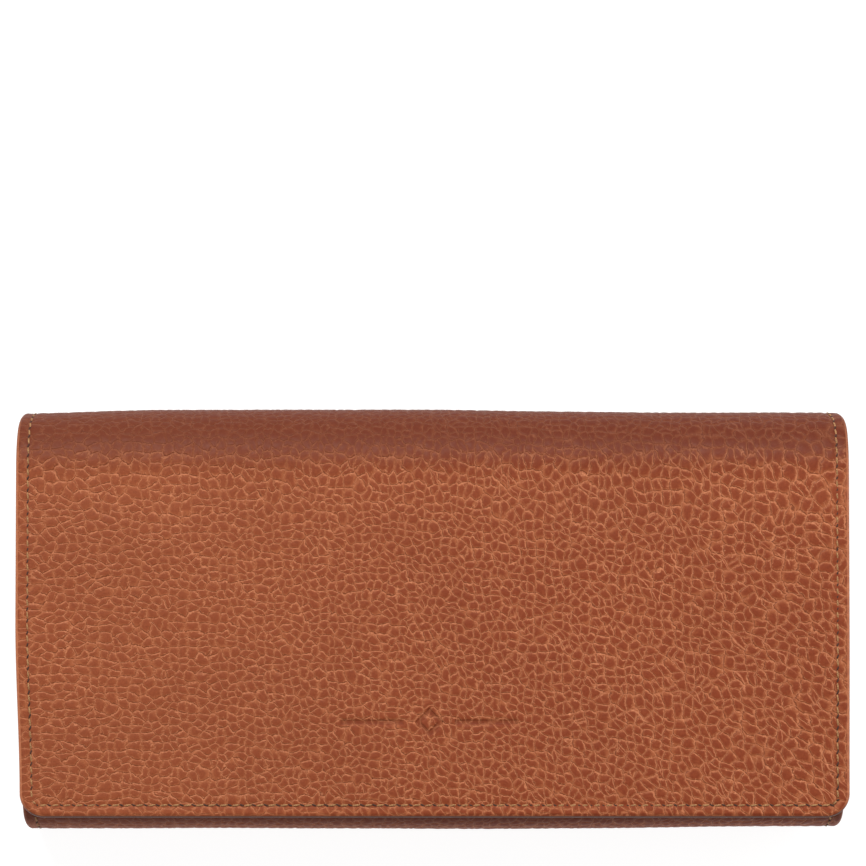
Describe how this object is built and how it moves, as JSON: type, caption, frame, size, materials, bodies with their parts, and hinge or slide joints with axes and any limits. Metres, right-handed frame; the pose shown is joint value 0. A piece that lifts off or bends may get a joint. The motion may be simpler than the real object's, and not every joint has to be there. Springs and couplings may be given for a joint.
{
  "type": "long wallet",
  "caption": "Long flap wallet in pebbled leather: wrap-over snap flap, stepped card pockets, two gusseted note compartments and a zipped coin pocket.",
  "frame": {"origin": "on the surface that the wallet lies on, under the middle of its box", "axes": "+X along the wallet's length, +Y from the bottom fold to the top fold, +Z out of the front, with the wallet lying on its back"},
  "size_m": [0.19, 0.097, 0.0271],
  "materials": {
    "outer_leather": "pebbled, cognac brown, semi-matte",
    "inner_leather": "smooth grain, cognac brown",
    "lining": "woven twill, warm brown",
    "board": "fibre board and foam",
    "thread": "waxed ochre-tan thread",
    "tape": "woven zip tape, dark brown",
    "brass": "antique, lightly brushed",
    "spring": "spring wire"
  },
  "bodies": {
    "back": {"back_leather": "outer_leather", "back_board": "board", "back_lining": "lining", "back_thread": "thread", "card_pocket_1": "inner_leather", "card_pocket_2": "inner_leather", "card_pocket_3": "inner_leather", "card_pocket_4": "inner_leather", "gusset_rear_left": "inner_leather", "gusset_rear_right": "inner_leather"},
    "spine_1": {"spine_leather_1": "outer_leather", "spine_padding_1": "board", "spine_lining_1": "lining", "spine_thread_1": "thread"},
    "spine_2": {"spine_leather_2": "outer_leather", "spine_padding_2": "board", "spine_lining_2": "lining", "spine_thread_2": "thread"},
    "spine_3": {"spine_leather_3": "outer_leather", "spine_padding_3": "board", "spine_lining_3": "lining", "spine_thread_3": "thread"},
    "flap": {"flap_leather": "outer_leather", "flap_board": "board", "flap_lining": "lining", "flap_thread": "thread", "snap_cap": "brass", "snap_socket": "brass", "snap_spring": "spring"},
    "centre": {"bottom_leather": "outer_leather", "bottom_padding": "board", "bottom_lining": "lining", "bottom_thread": "thread", "coin_base": "inner_leather", "coin_rear_wall": "inner_leather", "coin_rear_lining": "lining", "coin_front_lining": "lining", "coin_front_wall": "inner_leather", "coin_welt_left": "inner_leather", "coin_welt_right": "inner_leather", "zip_tape_rear": "tape", "zip_tape_front": "tape", "zip_teeth_rear": "brass", "zip_teeth_front": "brass", "zip_stops": "brass"},
    "front_wall": {"front_leather": "outer_leather", "front_board": "board", "front_lining": "lining", "front_thread": "thread", "snap_stud": "brass", "snap_washer": "brass", "gusset_front_left": "inner_leather", "gusset_front_right": "inner_leather"},
    "slider": {"zip_slider": "brass"},
    "puller": {"puller_link": "brass", "puller_tab": "inner_leather"}
  },
  "joints": [
    {"name": "flap_fold_1", "type": "hinge", "parent": "back", "child": "spine_1", "pos_m": [0, 0.04013, 0.00103], "axis": [-1, 0, 0], "range_deg": [0, 45]},
    {"name": "flap_fold_2", "type": "hinge", "parent": "spine_1", "child": "spine_2", "pos_m": [0, 0.04747, 0.00836], "axis": [-1, 0, 0], "range_deg": [0, 45]},
    {"name": "flap_fold_3", "type": "hinge", "parent": "spine_2", "child": "spine_3", "pos_m": [0, 0.04747, 0.01874], "axis": [-1, 0, 0], "range_deg": [0, 45]},
    {"name": "flap_fold_4", "type": "hinge", "parent": "spine_3", "child": "flap", "pos_m": [0, 0.04013, 0.02607], "axis": [-1, 0, 0], "range_deg": [0, 45]},
    {"name": "centre_fan", "type": "hinge", "parent": "back", "child": "centre", "pos_m": [0, -0.04519, 0.00331], "axis": [1, 0, 0], "range_deg": [0, 13], "deforming": ["gusset_rear_left", "gusset_rear_right"]},
    {"name": "front_fan", "type": "hinge", "parent": "centre", "child": "front_wall", "pos_m": [0, -0.04519, 0.01929], "axis": [1, 0, 0], "range_deg": [0, 13], "deforming": ["gusset_front_left", "gusset_front_right"]},
    {"name": "zip_travel", "type": "slide", "parent": "centre", "child": "slider", "axis": [-1, 0, 0], "range_m": [0, 0.124]},
    {"name": "puller_swing", "type": "hinge", "parent": "slider", "child": "puller", "pos_m": [0.062, 0.0232, 0.0125], "axis": [0, 0, -1], "range_deg": [0, 180]}
  ],
  "couplings": [
    {"joint": "flap_fold_2", "follows": "flap_fold_1", "ratio": 1},
    {"joint": "flap_fold_3", "follows": "flap_fold_1", "ratio": 1},
    {"joint": "flap_fold_4", "follows": "flap_fold_1", "ratio": 1},
    {"joint": "centre_fan", "follows": "flap_fold_1", "ratio": 0.28889},
    {"joint": "front_fan", "follows": "flap_fold_1", "ratio": 0.28889}
  ]
}
